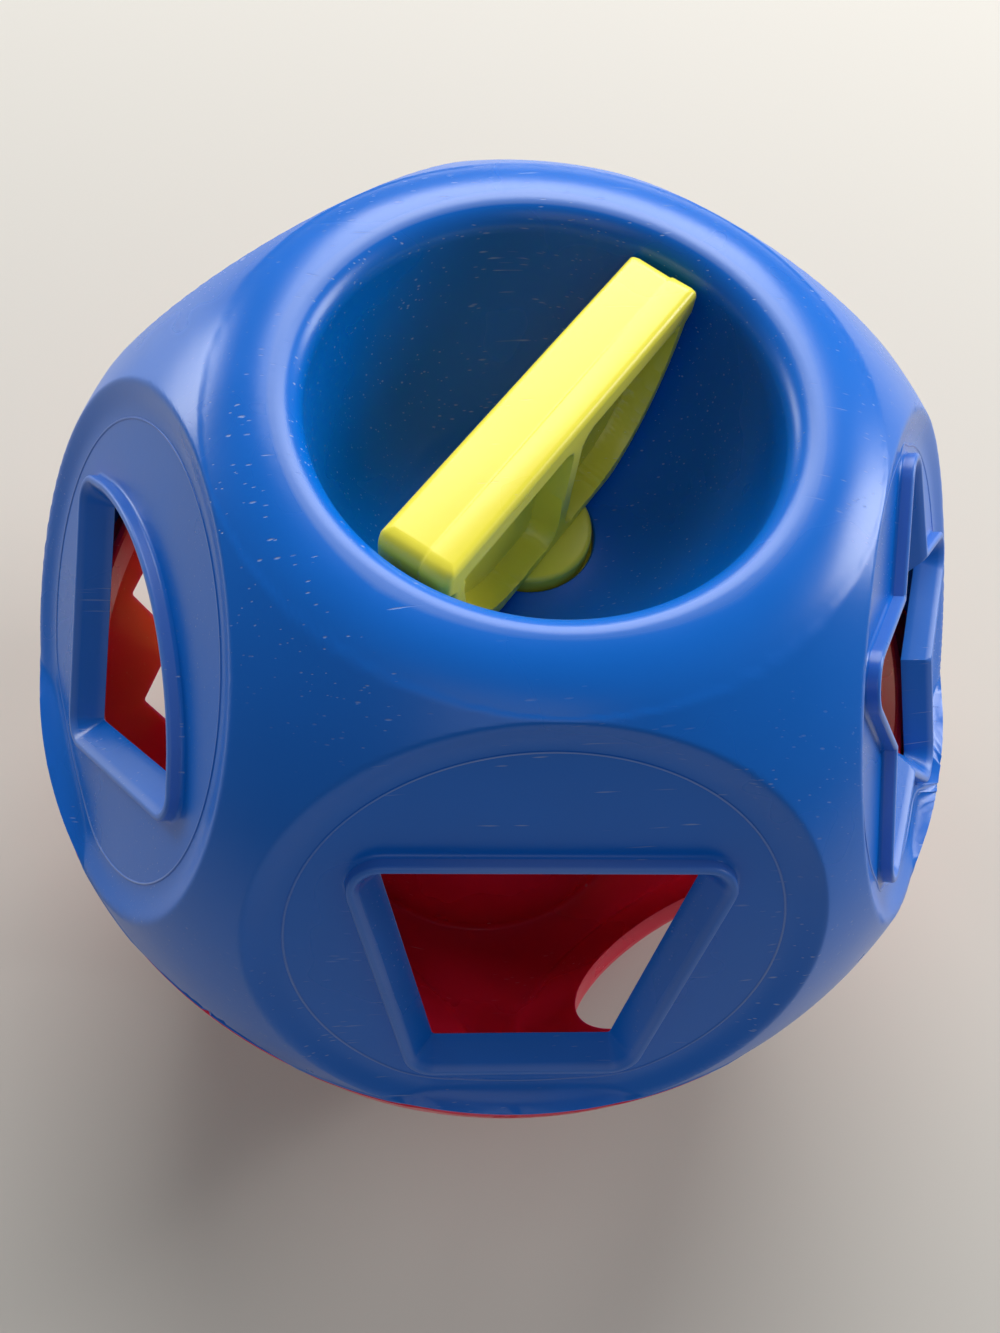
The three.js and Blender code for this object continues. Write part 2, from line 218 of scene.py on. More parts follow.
def quarter(radius):
    curve = on_circle(radius, 61, 45, 90)
    return np.concatenate([[(0, 0)], curve]) - (0, 0.6 * radius)


def cross(reach, arm):
    a = arm / 2
    turn = np.array([(0, -1), (1, 0)])
    side = np.array([(reach, -a), (reach, a), (a, a)])
    return np.concatenate([side @ np.linalg.matrix_power(turn.T, n) for n in range(4)])


UPPER_WINDOWS = {
    "trapezoid": trapezoid(47, 29, 38.5, 6),
    "star": star(33, 15.5),
    "hexagon": on_circle(25, 6),
    "triangle": on_circle(30, 3, 90),
    "quarter": quarter(38),
}
LOWER_WINDOWS = {
    "circle": on_circle(25.5, 180),
    "square": on_circle(28, 4, 45),
    "pentagon": on_circle(26, 5, 90),
    "cross": cross(25, 18),
    "oval": on_circle(19, 180, stretch=1.5),
}
CORNER_POINTS = 9


def sample_outline(points, angles, corner):
    """Samples of an outline near the given polar angles, and the way each one moves
    when the outline grows by one unit: its normal on a side or curve, the normals'
    fan round a rounded corner, and the mitre at an inward corner."""
    ahead = np.roll(points, -1, 0) - points
    size = np.linalg.norm(ahead, axis=1)
    way = ahead / size[:, None]
    normal = np.stack([way[:, 1], -way[:, 0]], -1)
    before = np.roll(normal, 1, 0)
    dot = (before * normal).sum(1)
    turn = np.arctan2(before[:, 0] * normal[:, 1] - before[:, 1] * normal[:, 0], dot)
    mitre = (before + normal) / (1 + dot)[:, None]
    sharp = np.abs(turn) > math.radians(25)
    convex = sharp & (turn > 0)
    move = np.where(sharp[:, None], mitre, mitre / np.linalg.norm(mitre, axis=1)[:, None])
    move_start = np.where(convex[:, None], normal, move)
    move_end = np.where(np.roll(convex, -1)[:, None], normal, np.roll(move, -1, 0))
    trim = np.where(convex, corner * np.tan(np.abs(turn) / 2), 0)

    ray = np.stack([np.cos(angles), np.sin(angles)], -1)[:, None]
    across = ray[..., 0] * points[:, 1] - ray[..., 1] * points[:, 0]
    along = ray[..., 0] * ahead[:, 1] - ray[..., 1] * ahead[:, 0]
    share = -across / np.where(np.abs(along) < 1e-12, 1e-12, along)
    hit = points + share[..., None] * ahead
    reach = (hit * ray).sum(-1)
    valid = (share >= -1e-9) & (share <= 1 + 1e-9) & (reach > 0)
    side = np.where(valid, reach, -1).argmax(1)
    pick = np.arange(len(angles))
    part = np.clip(share[pick, side], (trim / size)[side], 1 - (np.roll(trim, -1) / size)[side])
    part = part[:, None]
    place = points[side] + part * ahead[side]
    moves = (1 - part) * move_start[side] + part * move_end[side]

    for i in np.flatnonzero(sharp):
        count = CORNER_POINTS if convex[i] else 1
        bearing = math.atan2(points[i, 1], points[i, 0])
        gap = np.abs((angles - bearing + math.pi) % (2 * math.pi) - math.pi)
        index = (gap.argmin() + np.arange(count) - count // 2) % len(angles)
        if convex[i]:
            first = math.atan2(before[i, 1], before[i, 0])
            fan = first + turn[i] * np.linspace(0, 1, count)
            moves[index] = np.stack([np.cos(fan), np.sin(fan)], -1)
            place[index] = points[i] - corner * mitre[i] + corner * moves[index]
        else:
            moves[index] = mitre[i]
            place[index] = points[i]
    return place, moves


# ---------------------------------------------------------------- the ball's surface


def profile_table(rho, height):
    """A turned profile as angle from its axis and distance from the ball's centre."""
    return np.arctan2(rho, height), np.hypot(rho, height)


def table_radius(table, angle):
    """Distance to a turned profile along rays, rising steeply past its end."""
    angles, radii = table
    past = np.maximum(angle - angles[-1], 0)
    return np.interp(angle, angles, radii) + 3.0 * past


class HalfSurface:
    """One half of the ball as a distance from its centre for every direction: the sphere,
    cut by the flat of each face with a hollow arc round it, and by the slope of the rim."""

    def __init__(self, sizes, inset):
        self.inset = inset
        self.sphere = BALL_RADIUS - inset
        height = sizes.face - inset
        angle = np.radians(np.linspace(0, 55, 40))
        flat = np.linspace(0, sizes.flat, 60)[:-1]
        rho = np.concatenate([flat, sizes.flat + sizes.cove * np.sin(angle)])
        rise = np.concatenate([flat * 0, sizes.cove * (1 - np.cos(angle))])
        self.face = profile_table(rho, height + rise)
        crest = CENTRE.z - inset
        out = np.linspace(0, 1, 20)
        self.crest_angle = math.atan2(sizes.rim, crest)
        fall = 1.9 * MM * out ** 1.6
        self.rim = profile_table(sizes.rim + 11 * MM * out, crest - fall)
        self.blend = sizes.ridge

    def normals(self, bearing):
        upper = [bearing + i * FIFTH for i in range(5)]
        lower = [b + FIFTH / 2 for b in upper]
        tangent = math.tan(FACE_LATITUDE)
        rows = [(math.cos(b), math.sin(b), s * tangent) for s, c in ((1, upper), (-1, lower)) for b in c]
        return np.array(rows) * math.cos(FACE_LATITUDE)

    def radius(self, direction, bearing):
        radius = np.full(direction.shape[:-1], self.sphere)
        for normal in self.normals(bearing):
            angle = np.arccos(np.clip(direction @ normal, -1, 1))
            radius = smooth_least(radius, table_radius(self.face, angle), self.blend)
        polar = np.arccos(np.clip(direction[..., 2], -1, 1))
        rim = table_radius(self.rim, np.maximum(polar, self.crest_angle))
        return smooth_least(radius, rim, self.blend)

    def points(self, direction, bearing):
        return direction * self.radius(direction, bearing)[..., None]


def face_frame(bearing):
    """Right, above and out of an upper face, seen from outside."""
    out = np.array([math.cos(bearing), math.sin(bearing), math.tan(FACE_LATITUDE)])
    out /= np.linalg.norm(out)
    right = np.array([-math.sin(bearing), math.cos(bearing), 0])
    return right, np.cross(out, right), out


BOTTOM, SIDE, TOP = 56, 40, 48  # samples on the sides of one face's patch


def top_direction(azimuth):
    """Directions on the border between the pole's patch and a face's, azimuth from the face."""
    polar = np.arctan(POLE_BISECTOR / np.cos(azimuth))
    flat = np.sin(polar)
    return np.stack([flat * np.cos(azimuth), flat * np.sin(azimuth), np.cos(polar)], -1)


def turned_about_z(points, angle):
    c, s = math.cos(angle), math.sin(angle)
    return points @ np.array([(c, s, 0), (-s, c, 0), (0, 0, 1)])


def patch_border(bearing):
    """Directions round one face's patch, anticlockwise from its lower left corner: along the
    seam, up the meridian half way to the next face, back along the pole's patch, and down."""
    half = FIFTH / 2
    low = SEAM / BALL_RADIUS
    high = math.pi / 2 - math.atan(POLE_BISECTOR / math.cos(half))

    def from_angles(azimuth, latitude):
        azimuth, latitude = np.broadcast_arrays(azimuth, latitude)
        flat = np.cos(latitude)
        return np.stack([flat * np.cos(azimuth), flat * np.sin(azimuth), np.sin(latitude)], -1)

    bottom = from_angles(np.linspace(-half, half, BOTTOM, endpoint=False), low)
    up = np.linspace(low, high, SIDE, endpoint=False)
    down = np.linspace(high, low, SIDE, endpoint=False)
    top = top_direction(np.linspace(half, -half, TOP, endpoint=False))
    border = np.concatenate([bottom, from_angles(half, up), top, from_angles(-half, down)])
    return turned_about_z(border, bearing)


def seam_rounded(points, amount):
    """Points near the seam drawn in along a quarter circle, which rounds the half's edge."""
    height = np.clip(points[..., 2] - SEAM, 0, amount)
    draw = amount - np.sqrt(np.maximum(amount ** 2 - (amount - height) ** 2, 0))
    out = np.linalg.norm(points[..., :2], axis=-1)
    scale = 1 - draw / np.maximum(out, amount)
    return points * np.stack([scale, scale, np.ones_like(scale)], -1)


def with_sill(points):
    """Points near the seam moved out level to a hollow sill, so that the seam stays a full
    circle: the ball's radius less an elliptical drop that grows with the height."""
    height = points[..., 2]
    share = np.clip((height - SILL_START) / SILL_HEIGHT, 0, 1)
    drop = SILL_DEPTH * np.sqrt(1 - (1 - share) ** 2)
    drop = drop + SILL_FALL * np.maximum(height - SILL_START - SILL_HEIGHT, 0)
    least = np.sqrt(np.maximum(BALL_RADIUS ** 2 - height ** 2, 0)) - drop
    out = np.linalg.norm(points[..., :2], axis=-1)
    wanted = -smooth_least(-out, -least, SILL_BLEND)
    scale = np.where(least > out - SILL_BLEND, wanted / np.maximum(out, MM), 1.0)
    return points * np.stack([scale, scale, np.ones_like(scale)], -1)


def face_patch(sizes, outside, inside, bearing, outline):
    """The skin of one window face from the inner border, over the opening's edge and frame,
    to the outer border. Each row is a ring of points round the window."""
    right, above, out = face_frame(bearing)
    border = patch_border(bearing)
    angles = np.arctan2(border @ above, border @ right)
    polar = np.arccos(border @ out)
    place, moves = sample_outline(outline * MM, angles, sizes.corner)

    def ring(flat_points, height):
        u, v = flat_points[:, :1], flat_points[:, 1:]
        return u * right + v * above + height * out

    # The flat ends at its circle, or short of it near the sill, but never within the frame.
    around = np.stack([np.cos(angles), np.sin(angles)], -1)
    foot = 0.7 * MM
    sill_end = SILL_START + 2.2 * MM
    sill = (sill_end - sizes.face * math.sin(FACE_LATITUDE)) / math.cos(FACE_LATITUDE)
    sill = sill / np.minimum(around[:, 1], -0.1)
    edge_out = sizes.funnel + sizes.crest + foot
    least = np.linalg.norm(place + edge_out * moves, axis=1) + 0.5 * MM
    sill_blend, frame_blend = 4.0 * MM, 3.0 * MM
    reach = smooth_least(sill, np.full(len(sill), sizes.flat), sill_blend)
    reach = -smooth_least(-reach, -least, frame_blend)

    def from_flat(rings, height, radius):
        """Rings that turn from the outline into the flat's edge."""
        edge = np.reshape(radius, (-1, 1)) * around
        return [ring(start * (1 - share) + edge * share, height) for start, share in rings]

    def to_border(surface, shares, radius):
        low = np.arctan2(radius, sizes.face - surface.inset)
        angle = low + (polar - low) * np.asarray(shares)[:, None]
        flat = np.cos(angles)[:, None] * right + np.sin(angles)[:, None] * above
        direction = np.cos(angle)[..., None] * out + np.sin(angle)[..., None] * flat
        return surface.points(direction, bearing)

    inner = sizes.face - sizes.wall
    top = sizes.face + sizes.collar
    lip = 0.25 * MM
    slope = math.atan2(top - inner, sizes.funnel)
    bead = 0.55 * MM
    crest_end = sizes.funnel + sizes.crest
    profile = [(0.0, inner), (-0.3 * lip, inner + 0.3 * lip), (0.0, inner + lip)]
    profile += [(sizes.funnel * s, inner + lip + (top - inner - lip) * s) for s in (0.25, 0.5, 0.75, 0.9)]
    bead_start = 180 - math.degrees(slope) / 1.6
    profile += list(arc((sizes.funnel + bead * 0.7, top - bead), (bead, bead), bead_start, 90, 5))
    profile += list(arc((crest_end - bead, top - bead), (bead, bead), 90, 8, 6))
    profile += list(arc((crest_end + foot, sizes.face + foot), (foot, foot), 188, 270, 6))
    outer_edge = profile[-1][0]

    rows = list(to_border(inside, np.linspace(1, 0, 9), sizes.flat))
    rows += from_flat([(place, s) for s in (0.8, 0.5, 0.25)], inner, sizes.flat)
    crest_start = len(rows)
    rows += [ring(place + grow * moves, height) for grow, height in profile]
    start = place + outer_edge * moves
    flat_start = len(rows)
    line = 0.45 * MM
    rows += from_flat([(start, s) for s in (0.12, 0.3, 0.5, 0.7, 0.9)], sizes.face, reach - line)
    bump = ((line, 0.0), (0.7 * line, 0.14 * MM), (0.35 * line, 0.16 * MM), (0.1 * line, 0.1 * MM))
    line_start = len(rows)
    for back, rise in bump:
        rows.append(ring((reach - back)[:, None] * around, sizes.face + rise))
    outer_start = len(rows)
    rows += list(to_border(outside, np.linspace(0, 1, 27) ** 1.2, reach))
    rows = np.array(rows)
    rows[flat_start:] = with_sill(rows[flat_start:])
    rows[outer_start:] = seam_rounded(rows[outer_start:], SEAM_ROUND)
    # Rows painted paler in the material: rubbing wear, and a painted highlight where the frame's crest and
    # the moulding line catch light.
    wear_and_sheen = np.zeros(len(rows))
    wear_and_sheen[crest_start + 6:crest_start + 19] = 0.35  # the frame's crest
    wear_and_sheen[line_start + 1:line_start + 3] = 0.9  # the top of the moulding line
    return rows, wear_and_sheen


def pole_patch(sizes, outside, inside, bearing):
    """The skin of the dish from the inner border, round the hole's edge, up the dish's
    elliptical wall and over the rim, to the outer border."""
    azimuth = np.linspace(0, 2 * math.pi, 5 * TOP, endpoint=False)
    nearest = (azimuth + FIFTH / 2) % FIFTH - FIFTH / 2
    border = top_direction(nearest)
    polar = np.arccos(border[:, 2])
    direction_flat = np.stack([np.cos(azimuth), np.sin(azimuth), 0 * azimuth], -1)

    def to_border(surface, shares):
        angle = surface.crest_angle + (polar - surface.crest_angle) * np.asarray(shares)[:, None]
        direction = np.sin(angle)[..., None] * direction_flat
        direction = direction + np.cos(angle)[..., None] * np.array([0, 0, 1])
        return surface.points(direction, 0.0)

    def dish(inset, steps):
        reach = sizes.rim - sizes.rim_round - sizes.floor_flat + inset
        round_height = CENTRE.z - sizes.rim_round
        depth = round_height - sizes.floor + inset
        bowl = arc((sizes.floor_flat, round_height), (reach, depth), -90, 0, steps)
        small = sizes.rim_round - inset
        rim = arc((sizes.rim, round_height), (small, small), 180, 90, steps // 2)
        return np.concatenate([bowl, rim[1:]])

    wall = sizes.wall
    edge = 0.5 * MM
    hole = [(sizes.hole, sizes.floor - wall + edge), (sizes.hole, sizes.floor - edge)]
    hole += list(arc((sizes.hole + edge, sizes.floor - edge), (edge, edge), 165, 90, 5))
    rings = list(lathe(dish(wall, 20)[::-1], len(azimuth)))
    rings += list(lathe([(sizes.hole, sizes.floor - wall)] + hole, len(azimuth)))
    rings += list(lathe(dish(0.0, 40), len(azimuth)))
    rows = list(to_border(inside, np.linspace(1, 0, 6)[:-1])) + rings
    rows += list(to_border(outside, np.linspace(0, 1, 18)[1:]))
    wear_and_sheen = np.zeros(len(rows))
    # The rim's crest is painted paler: rubbing wear and a painted highlight.
    wear_and_sheen[-22:-16] = 0.3  # the rim's crest
    return turned_about_z(np.array(rows), bearing), wear_and_sheen


def half_shell(name, sizes, first, windows, turned_over):
    """A closed half of the ball. It is worked out as an upper half, and the lower one is
    that half turned over about X, with its outlines turned to suit."""
    outside = HalfSurface(sizes, 0.0)
    inside = HalfSurface(sizes, sizes.wall)
    patches = [pole_patch(sizes, outside, inside, first if not turned_over else -first)]
    for i, outline in enumerate(windows.values()):
        bearing = first + i * FIFTH
        if turned_over:
            patches.append(face_patch(sizes, outside, inside, -bearing, -outline))
        else:
            patches.append(face_patch(sizes, outside, inside, bearing, outline))
    grids = [grid for grid, _ in patches]
    # The paleness of each point: rubbing wear, and a painted highlight on the crests and the moulding line.
    wear_and_sheen = np.concatenate([np.repeat(row_wear_and_sheen, grid.shape[1]) for grid, row_wear_and_sheen in patches])
    points, faces = joined(grids)
    rim = []
    start = 0
    for grid in grids:
        rows, columns = grid.shape[:2]
        if grid is not grids[0]:
            column = start + np.arange(BOTTOM)
            last = (rows - 1) * columns
            rim.append(np.stack([column + last, column, column + 1, column + last + 1], -1))
        start += rows * columns
    faces = np.concatenate([faces] + rim)
    if turned_over:
        points = points * np.array([1, -1, -1])
    return build_mesh(name, points + np.array(CENTRE), faces.tolist(), weld=0.012 * MM, wear_and_sheen=wear_and_sheen)


def spigot(sizes):
    """The tongue inside the seam and the shelf that carries it, a section turned about Z
    whose outer edge follows the wall."""
    height, wall, shelf = 4.5 * MM, 1.8 * MM, 2.6 * MM
    azimuth = np.linspace(0, 2 * math.pi, 360, endpoint=False)
    direction = np.stack([np.cos(azimuth), np.sin(azimuth), 0 * azimuth], -1)
    inside = HalfSurface(sizes, sizes.wall).radius(direction, -math.pi / 2)
    reach = (sizes.face - sizes.wall) / math.cos(FACE_LATITUDE)
    outer = reach - height * math.tan(FACE_LATITUDE) - 0.4 * MM
    rows = [(outer - wall, -SEAM - shelf), (outer - wall, height - 0.4 * MM)]
    rows += [(outer - wall + 0.4 * MM, height), (outer - 0.5 * MM, height)]
    rows += [(outer, height - 0.5 * MM), (outer, -SEAM - 0.1 * MM)]
    grid = list(lathe(rows, len(azimuth)))
    for z in (-SEAM - 0.1 * MM, -SEAM - shelf):
        grid.append((inside + 1.2 * MM)[:, None] * direction + np.array([0, 0, z]))
    grid.append(grid[0])
    points, faces = joined([np.array(grid)[::-1]])
    return build_mesh("red_spigot", points + np.array(CENTRE), faces.tolist(), weld=0.012 * MM)


# ---------------------------------------------------------------- handles


def smooth_step(value, low, high):
    share = np.clip((value - low) / (high - low), 0, 1)
    return share * share * (3 - 2 * share)


def grip_body(sizes, ball):
    """The grip as two height fields over its side view, joined by a band round the edge.
    Rows run up the side view and columns across it. The half thickness is the bar's,
    less the finger pockets, and is rounded off towards the edge."""
    top, foot, half = sizes.top, sizes.foot, sizes.half
    round_height = CENTRE.z - ball.rim_round
    reach = ball.rim - ball.rim_round - ball.floor_flat - 3.0 * MM
    depth = round_height - foot
    end_round = 2.6 * MM

    def half_width(z, inset=0.0):
        """Half of the side view's width at a height: the bowl's ellipse, capped by the bar."""
        share = np.clip((round_height - z) / (depth - inset), -1, 1)
        bowl = ball.floor_flat + (reach - inset) * np.sqrt(1 - np.maximum(share, 0) ** 2)
        bar = half - inset - end_round + np.sqrt(
            np.maximum(end_round ** 2 - np.maximum(z - (top - end_round), 0) ** 2, 0))
        flange_low = top - sizes.flange
        widen = smooth_step(z, flange_low - 1.6 * MM, flange_low + 0.2 * MM)
        return np.minimum(bowl + (half - inset - bowl) * widen, bar)

    rise = np.linspace(0, 1, 121)
    z = foot + (top - foot) * (0.5 - 0.5 * np.cos(math.pi * rise)) * 0.35 + (top - foot) * rise * 0.65
    share = np.linspace(-1, 1, 201)
    share = 0.7 * share + 0.3 * np.sin(share * math.pi / 2)
    width = half_width(z)
    x = width[:, None] * share
    zz = np.broadcast_to(z[:, None], x.shape)

    inner = half_width(z, sizes.rim)[:, None]
    ceiling = top - sizes.flange
    low = foot + sizes.rim
    side = np.minimum(inner - np.abs(x), np.abs(x) - sizes.rim / 2)
    inside_pocket = smooth_least(side, np.minimum(ceiling - zz, zz - low), 3.6 * MM)
    pocket = smooth_step(inside_pocket, -0.25 * MM, 0.5 * MM)
    thick = sizes.width / 2
    thick = thick - (sizes.width / 2 - sizes.web / 2) * pocket
    near = np.minimum(width[:, None] - np.abs(x), np.minimum(top - zz, zz - foot))
    edge = sizes.edge
    drop = edge - np.sqrt(np.maximum(edge ** 2 - np.maximum(edge - near, 0) ** 2, 0))
    y = thick - drop

    def border(sheet):
        """The sheet's edge: along the foot, up the right, back along the top, down the left."""
        return np.concatenate([sheet[0, :-1], sheet[:-1, -1], sheet[-1, :0:-1], sheet[:0:-1, 0]])

    front = np.stack([x, -y, zz], -1)
    back = np.stack([x, y, zz], -1)
    rows, columns = x.shape
    sheet_faces = grid_faces(rows, columns, wrap=False)[:, ::-1]
    points = [front.reshape(-1, 3), back.reshape(-1, 3)]
    faces = [sheet_faces, sheet_faces[:, ::-1] + rows * columns]
    front_edge, back_edge = border(front), border(back)
    parting = 1.3 * MM
    gap = 0.16 * MM
    count = len(front_edge)
    band = [front_edge]
    flat = np.array([1, 0, 1])
    middle = np.array([0, 0, (top + foot) / 2])
    for y_line, inset in ((-parting - gap, 0.0), (-parting, 0.1 * MM), (-parting + gap, 0.22 * MM),
                          (-parting + 3 * gap, 0.22 * MM)):
        line = front_edge * flat
        away = line - middle
        away /= np.linalg.norm(away, axis=1)[:, None]
        band.append(line - away * inset + np.array([0, y_line, 0]))
    band.append(back_edge)
    points.append(np.array(band).reshape(-1, 3))
    faces.append(grid_faces(len(band), count, 2 * rows * columns))
    return np.concatenate(points), np.concatenate(faces)


def boss_profile(sizes, ball):
    """Radius and height down the boss, from its rounded top to the ring under the dish."""
    under = ball.floor - ball.wall - 0.4 * MM
    ring = ball.hole + 1.8 * MM
    foot = sizes.foot + 0.6 * MM
    edge = 0.9 * MM
    rows = [(0.01 * MM, foot)]
    rows += list(arc((sizes.boss - edge, foot - edge), (edge, edge), 90, 0, 6))
    rows += [(sizes.boss, under), (ring - 0.4 * MM, under), (ring, under - 0.4 * MM)]
    rows += [(ring - 1.2 * MM, under - 2.2 * MM), (0.01 * MM, under - 2.2 * MM)]
    return rows


def blade_parts(ball):
    """The slotted blade as a loop of its section swept round, and its headed peg."""
    near, thick, half = 0.4 * MM, 3.0 * MM, 7.0 * MM
    top = ball.floor - ball.wall - 0.4 * MM - 1.0 * MM
    tip = -33.0 * MM
    slot = 2.4 * MM
    slot_high, slot_low = 31.5 * MM, -23.5 * MM
    angle = np.radians(np.linspace(0, 360, 72, endpoint=False))

    def loop(half_width, low, high, corner):
        """A rounded rectangle in the blade's plane, as a superellipse-like loop."""
        cx = np.sign(np.cos(angle)) * (half_width - corner)
        middle = (low + high) / 2
        cz = middle + np.sign(np.sin(angle)) * ((high - low) / 2 - corner)
        return cx + corner * np.cos(angle), cz + corner * np.sin(angle)

    outer = loop(half, tip, top, 2.0 * MM)
    hole = loop(slot, slot_low, slot_high, slot * 0.999)
    soft = 0.3 * MM
    outer_soft = loop(half - soft, tip + soft, top - soft, 2.0 * MM - soft)
    hole_soft = loop(slot + soft, slot_low - soft, slot_high + soft, slot + soft)
    rows = []
    for (px, pz), y in ((hole, near + soft), (hole_soft, near), (outer_soft, near), (outer, near + soft),
                        (outer, near + thick - soft), (outer_soft, near + thick), (hole_soft, near + thick),
                        (hole, near + thick - soft), (hole, near + soft)):
        rows.append(np.stack([px, np.full_like(px, y), pz], -1))
    plate = np.array(rows)[::-1]
    peg_radius, head = 2.0 * MM, 3.2 * MM
    end = near + 0.4 * MM + thick
    profile = [(0.01 * MM, -near - 0.5 * MM), (peg_radius, -near - 0.5 * MM), (peg_radius, end), (head, end),
               (head, end + 0.8 * MM), (head - 0.6 * MM, end + 1.4 * MM), (0.01 * MM, end + 1.4 * MM)]
    peg = lathe(profile, 40)
    peg = np.stack([peg[..., 0], -peg[..., 2], peg[..., 1] + tip + 4.0 * MM], -1)
    return plate, peg


def handle_matrix(bearing, turned_over):
    """Where a handle stands: turned about Z, and for the lower one turned over first."""
    over = Matrix.Rotation(math.pi, 4, "X") if turned_over else Matrix.Identity(4)
    return Matrix.Translation(CENTRE) @ Matrix.Rotation(bearing, 4, "Z") @ over


def placed(obj, matrix):
    obj.data.transform(matrix)
    return obj


# ---------------------------------------------------------------- blocks


def block_mesh(name, outline, low, high, centre, turn):
    """An open-bottomed cup on the outline, as rings that grow and shrink from the middle
    of its top, down its side, round its lip and up to the middle of its ceiling."""
    angles = np.linspace(-math.pi, math.pi, 160, endpoint=False)
    place, moves = sample_outline(outline * MM, angles, 1.2 * MM)
    height = high - low
    clear, wall, edge = 0.9 * MM, 2.0 * MM, 0.9 * MM
    place_ceiling = place * 0.0

    def ring(share, grow, z):
        flat = (place + grow * moves) * share + place_ceiling * (1 - share)
        return np.concatenate([flat, np.full((len(flat), 1), z)], 1)

    rows = [ring(s, -clear - edge, height) for s in (0.0005, 0.35, 0.7, 0.9)]
    rows += [ring(1, -clear - edge + edge * math.sin(a), height - edge + edge * math.cos(a))
             for a in np.radians([0, 22, 45, 68, 90])]
    rows += [ring(1, -clear, 0.4 * MM), ring(1, -clear - 0.4 * MM, 0.0)]
    rows += [ring(1, -clear - wall + 0.4 * MM, 0.0)]
    rows += [ring(1, -clear - wall, 0.4 * MM), ring(1, -clear - wall, height - wall)]
    rows += [ring(s, -clear - wall, height - wall) for s in (0.7, 0.35, 0.0005)]
    points, faces = joined([np.array(rows)])
    c, s = math.cos(turn), math.sin(turn)
    points = points @ np.array([(c, s, 0), (-s, c, 0), (0, 0, 1)])
    points = points + np.array([centre[0], centre[1], low])
    return build_mesh(name, points, faces[:, ::-1].tolist(), weld=0.02 * MM)


# ---------------------------------------------------------------- materials


def linear(hex_colour):
    """An sRGB hex colour as linear red, green, blue and full alpha."""
    values = [int(hex_colour[i:i + 2], 16) / 255 for i in (1, 3, 5)]
    return tuple(v / 12.92 if v <= 0.04045 else ((v + 0.055) / 1.055) ** 2.4 for v in values) + (1.0,)


def add(tree, kind, links=None, **settings):
    """Adds a node, sets its properties, and sets or links its sockets by name or index."""
    item = tree.nodes.new(kind)
    for key, value in settings.items():
        setattr(item, key, value)
    for key, value in (links or {}).items():
        socket = item.inputs[key]
        if isinstance(value, bpy.types.NodeSocket):
            tree.links.new(value, socket)
        else:
            socket.default_value = value
    return item


